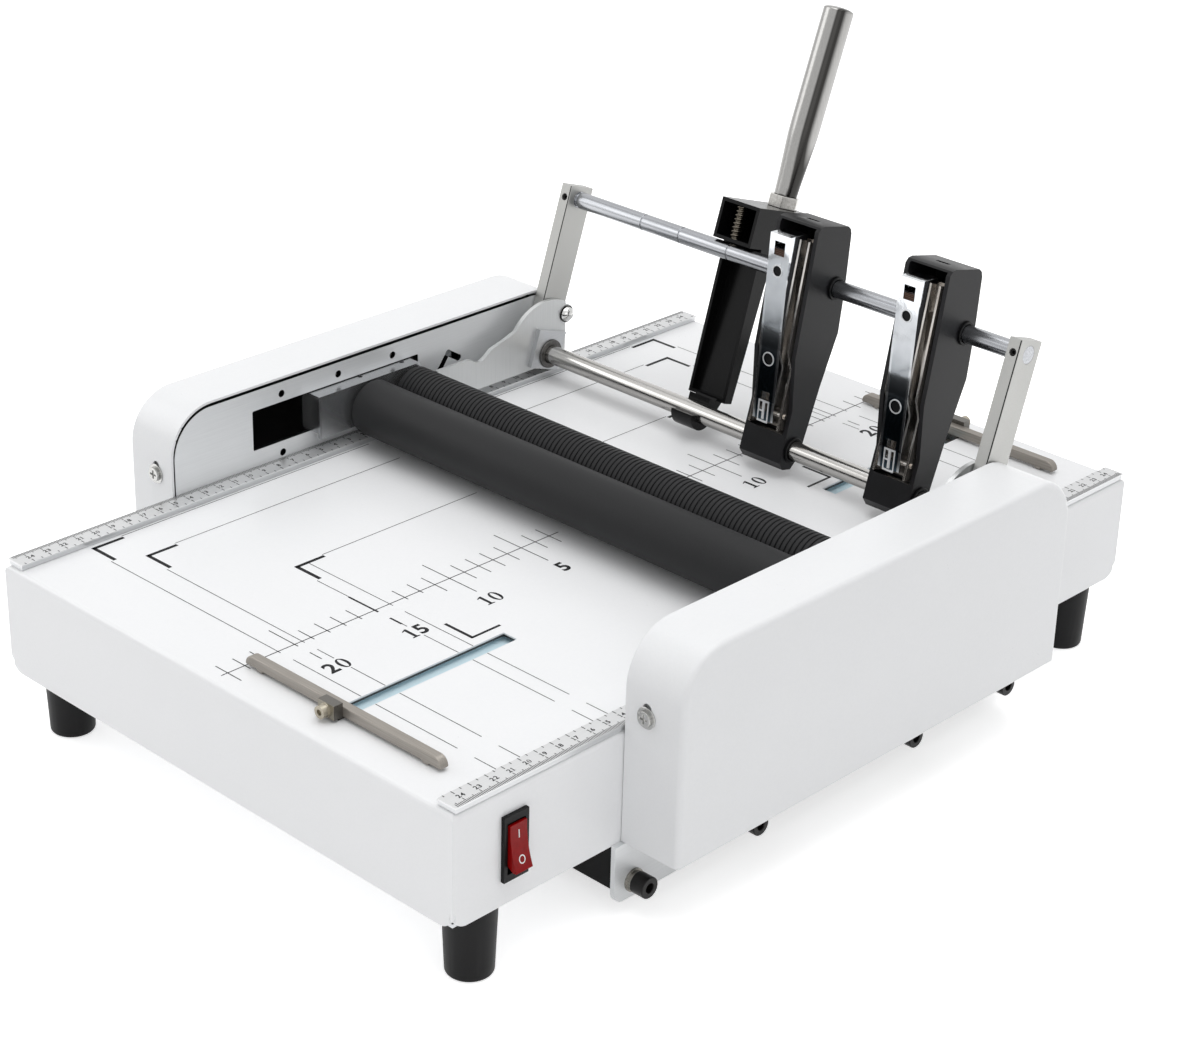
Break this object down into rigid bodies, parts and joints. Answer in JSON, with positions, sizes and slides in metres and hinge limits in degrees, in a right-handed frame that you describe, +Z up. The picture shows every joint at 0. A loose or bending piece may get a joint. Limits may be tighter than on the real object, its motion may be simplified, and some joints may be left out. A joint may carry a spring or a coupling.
{
  "type": "booklet maker",
  "caption": "Tabletop booklet maker: ruled table with sliding stops, driven fold rollers on a carriage, and a lever frame that swings staplers down to the fold line.",
  "frame": {"origin": "centre of the table on the floor under the feet", "axes": "+X to the right cover, +Y to the far end away from the power switch, +Z up"},
  "size_m": [0.396, 0.5, 0.322],
  "materials": {
    "white_paint": "smooth satin powder coat",
    "plate_steel": "satin sheet steel",
    "rule_steel": "etched rule steel",
    "arm_aluminium": "bead blasted",
    "rod_steel": "ground rod",
    "bright_chrome": "mirror chrome",
    "bar_steel": "warm grey brushed",
    "bronze": "sintered bronze",
    "black_paint": "satin black",
    "black_plastic": "satin moulded",
    "black_screw": "black oxide",
    "foot_rubber": "moulded",
    "roller_rubber": "ground satin",
    "nylon": "white nylon",
    "gear_plastic": "acetal",
    "switch_red": "clear red",
    "board": "coated board"
  },
  "bodies": {
    "base": {"table_top": "white_paint", "base_pan": "plate_steel", "rubber_feet": "foot_rubber", "side_rules": "rule_steel", "rule_beds": "plate_steel", "slot_channels": "plate_steel", "left_side_plate": "plate_steel", "right_side_plate": "plate_steel", "left_cover": "white_paint", "right_cover": "white_paint", "cover_screws": "bright_chrome", "under_tray": "black_paint", "leg_screws": "black_screw", "leg_washers": "bright_chrome", "left_cheek_plate": "plate_steel", "right_cheek_plate": "plate_steel", "pivot_blocks": "plate_steel", "pivot_bushings": "nylon", "arm_stop_bolts": "bright_chrome", "blade_posts": "plate_steel", "blade_solenoid": "black_paint", "control_board": "board", "switch_body": "black_plastic", "power_inlet": "black_plastic"},
    "carriage": {"left_carrier": "plate_steel", "right_carrier": "plate_steel", "roller_bushes": "bronze", "roller_motor": "black_paint"},
    "smooth": {"smooth_roller": "roller_rubber", "smooth_shaft": "rod_steel", "smooth_gear": "gear_plastic"},
    "grooved": {"grooved_roller": "roller_rubber", "grooved_shaft": "rod_steel", "grooved_gear": "gear_plastic"},
    "blade": {"fold_blade": "plate_steel", "blade_slides": "nylon", "blade_plunger": "plate_steel"},
    "swing_frame": {"left_arm": "arm_aluminium", "right_arm": "arm_aluminium", "upper_rod": "rod_steel", "lower_rod": "bright_chrome", "grub_screws": "black_screw", "rod_cranks": "plate_steel"},
    "left_drive_link": {"left_link": "plate_steel"},
    "right_drive_link": {"right_link": "plate_steel"},
    "handle": {"handle_bracket": "black_paint", "clamp_screw": "bronze", "handle_nut": "plate_steel", "handle_tube": "bright_chrome"},
    "left_stapler": {"left_stapler_housing": "black_plastic", "left_stapler_arm": "bright_chrome"},
    "left_magazine_body": {"left_magazine": "bright_chrome"},
    "right_stapler": {"right_stapler_housing": "black_plastic", "right_stapler_arm": "bright_chrome"},
    "right_magazine_body": {"right_magazine": "bright_chrome"},
    "near_stop": {"near_stop_bar": "bar_steel", "near_stop_clamp": "black_paint"},
    "far_stop": {"far_stop_bar": "bar_steel", "far_stop_clamp": "black_paint"},
    "rocker": {"power_rocker": "switch_red"}
  },
  "joints": [
    {"name": "arm_swing", "type": "hinge", "parent": "base", "child": "swing_frame", "pos_m": [0, 0.1188, 0.1118], "axis": [1, 0, 0], "range_deg": [0, 95]},
    {"name": "carriage_slide", "type": "slide", "parent": "base", "child": "carriage", "axis": [0, -1, 0], "range_m": [0, 0.0355]},
    {"name": "left_link_tilt", "type": "hinge", "parent": "swing_frame", "child": "left_drive_link", "pos_m": [-0.1712, 0.13231, 0.1326], "axis": [1, 0, 0], "range_deg": [-95, 0]},
    {"name": "right_link_tilt", "type": "hinge", "parent": "swing_frame", "child": "right_drive_link", "pos_m": [0.1712, 0.13231, 0.1326], "axis": [1, 0, 0], "range_deg": [-95, 0]},
    {"name": "smooth_spin", "type": "hinge", "parent": "carriage", "child": "smooth", "pos_m": [0, -0.01575, 0.1172], "axis": [1, 0, 0], "continuous": true},
    {"name": "grooved_spin", "type": "hinge", "parent": "carriage", "child": "grooved", "pos_m": [0, 0.0149, 0.1172], "axis": [1, 0, 0], "continuous": true},
    {"name": "blade_lift", "type": "slide", "parent": "base", "child": "blade", "axis": [0, 0, -1], "range_m": [-0.014, 0]},
    {"name": "handle_slide", "type": "slide", "parent": "swing_frame", "child": "handle", "axis": [1, 0, 0], "range_m": [-0.064, 0]},
    {"name": "left_stapler_slide", "type": "slide", "parent": "swing_frame", "child": "left_stapler", "axis": [1, 0, 0], "range_m": [-0.014, 0.022]},
    {"name": "right_stapler_slide", "type": "slide", "parent": "swing_frame", "child": "right_stapler", "axis": [1, 0, 0], "range_m": [-0.022, 0.014]},
    {"name": "left_magazine_tilt", "type": "hinge", "parent": "left_stapler", "child": "left_magazine_body", "pos_m": [0.0217, 0.11546, 0.13088], "axis": [-1, 0, 0], "range_deg": [0, 6], "stiffness_Nm_per_rad": 0.5, "springref_deg": -5.73},
    {"name": "right_magazine_tilt", "type": "hinge", "parent": "right_stapler", "child": "right_magazine_body", "pos_m": [0.1077, 0.11546, 0.13088], "axis": [-1, 0, 0], "range_deg": [0, 6], "stiffness_Nm_per_rad": 0.5, "springref_deg": -5.73},
    {"name": "near_stop_slide", "type": "slide", "parent": "base", "child": "near_stop", "axis": [0, 1, 0], "range_m": [0, 0.096]},
    {"name": "far_stop_slide", "type": "slide", "parent": "base", "child": "far_stop", "axis": [0, -1, 0], "range_m": [0, 0.082]},
    {"name": "rocker_tip", "type": "hinge", "parent": "base", "child": "rocker", "pos_m": [0.1628, -0.2135, 0.0675], "axis": [0, 1, 0], "range_deg": [0, 20]}
  ],
  "couplings": [
    {"joint": "carriage_slide", "follows": "arm_swing", "m_per_rad": 0.021353},
    {"joint": "left_link_tilt", "follows": "arm_swing", "ratio": -1},
    {"joint": "right_link_tilt", "follows": "arm_swing", "ratio": -1},
    {"joint": "grooved_spin", "follows": "smooth_spin", "ratio": -1}
  ]
}
